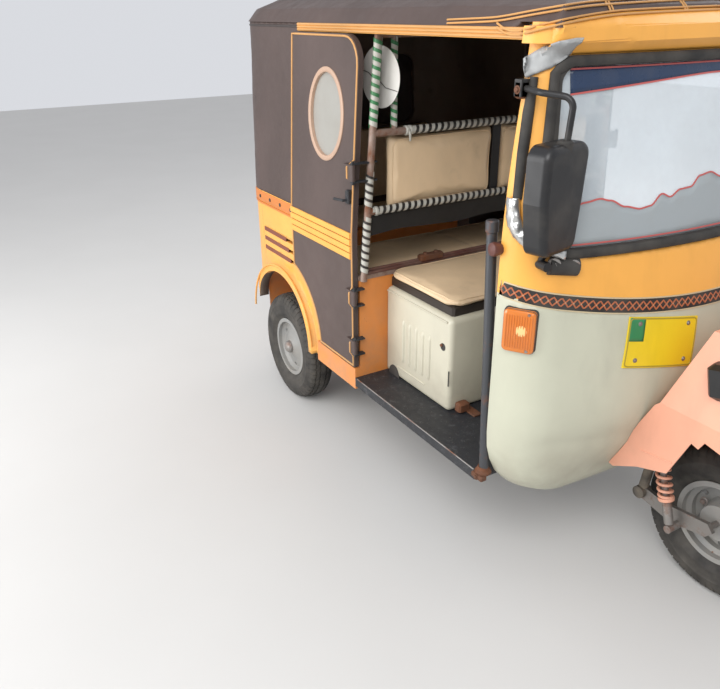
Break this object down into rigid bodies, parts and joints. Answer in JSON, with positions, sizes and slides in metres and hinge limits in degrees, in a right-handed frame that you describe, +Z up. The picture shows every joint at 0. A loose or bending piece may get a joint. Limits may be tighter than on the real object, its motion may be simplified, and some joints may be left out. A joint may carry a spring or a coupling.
{
  "type": "auto rickshaw",
  "caption": "Three-wheeled auto rickshaw with a steered front wheel, open driver's bench, vinyl-hooded passenger cabin and hinged side doors.",
  "frame": {"origin": "on the ground, at the centre of the overall length and width", "axes": "+X forward, +Y to the vehicle's left, +Z up"},
  "size_m": [2.646, 1.3888, 1.78],
  "materials": {
    "yellow_paint": "sun-faded yellow-orange paint",
    "cream_paint": "dull cream paint",
    "dark_vinyl": "brown-grey vinyl",
    "orange_paint": "orange paint, rubbed",
    "white_paint": "off-white paint, rusty edges",
    "salmon_paint": "faded salmon paint",
    "seat_vinyl": "cream seat vinyl",
    "black_metal": "worn black paint",
    "grey_steel": "old steel tube",
    "ribbon_tube": "tube wound with striped tape",
    "frame_steel": "dirty chassis black",
    "seal_rubber": "black rubber",
    "screen_glass": "clear windscreen",
    "black_plastic": "black plastic",
    "amber_lens": "amber lens",
    "red_lens": "red lens",
    "plate_yellow": "blank yellow plate",
    "engine_metal": "oily castings",
    "tyre_rubber": "worn tyre",
    "rim_paint": "silver rim paint",
    "spring_paint": "salmon spring"
  },
  "bodies": {
    "root": {"cowl_lower": "cream_paint", "cowl_upper": "yellow_paint", "wheel_well": "frame_steel", "windscreen_seal": "seal_rubber", "windscreen_glass": "screen_glass", "tub_right": "yellow_paint", "tub_left": "yellow_paint", "tub_rear": "yellow_paint", "hood": "dark_vinyl", "roof_canopy": "dark_vinyl", "roof_gutter": "yellow_paint", "chassis_frame": "frame_steel", "steering_head": "frame_steel", "floor_pans": "black_metal", "bulkhead": "orange_paint", "bench_boxes": "orange_paint", "driver_seat_box": "white_paint", "driver_cushion": "seat_vinyl", "bench_cushions": "seat_vinyl", "partition_frame": "ribbon_tube", "backrests": "seat_vinyl", "guard_rods": "grey_steel", "mirrors": "black_plastic", "turn_lamps": "amber_lens", "front_plate": "plate_yellow", "dashboard": "black_plastic", "rear_lamps": "red_lens", "engine_block": "engine_metal", "rear_arms": "frame_steel", "rear_springs": "frame_steel", "door_hinges": "black_metal", "fender": "salmon_paint", "headlamp": "black_plastic"},
    "steering": {"handlebar": "black_metal", "fork": "frame_steel", "front_link": "grey_steel", "front_shocks": "spring_paint"},
    "front_wheel": {"tyre_front": "tyre_rubber", "rim_front": "rim_paint"},
    "rear_wheel_right": {"tyre_rear_right": "tyre_rubber", "rim_rear_right": "rim_paint"},
    "rear_wheel_left": {"tyre_rear_left": "tyre_rubber", "rim_rear_left": "rim_paint"},
    "door_right": {"door_right": "dark_vinyl"},
    "door_left": {"door_left": "dark_vinyl"}
  },
  "joints": [
    {"name": "steer", "type": "hinge", "parent": "root", "child": "steering", "pos_m": [0.983, 0, 0.254], "axis": [-0.4163, 0, 0.9092], "range_deg": [-35, 35]},
    {"name": "front_wheel_spin", "type": "hinge", "parent": "steering", "child": "front_wheel", "pos_m": [1.015, 0, 0.254], "axis": [0, 1, 0], "continuous": true},
    {"name": "rear_wheel_right_spin", "type": "hinge", "parent": "root", "child": "rear_wheel_right", "pos_m": [-0.865, -0.552, 0.254], "axis": [0, 1, 0], "continuous": true},
    {"name": "rear_wheel_left_spin", "type": "hinge", "parent": "root", "child": "rear_wheel_left", "pos_m": [-0.865, 0.552, 0.254], "axis": [0, 1, 0], "continuous": true},
    {"name": "door_right_hinge", "type": "hinge", "parent": "root", "child": "door_right", "pos_m": [-0.16, -0.647, 0.74], "axis": [0, 0, 1], "range_deg": [0, 80]},
    {"name": "door_left_hinge", "type": "hinge", "parent": "root", "child": "door_left", "pos_m": [-0.16, 0.647, 0.74], "axis": [0, 0, -1], "range_deg": [0, 80]}
  ]
}
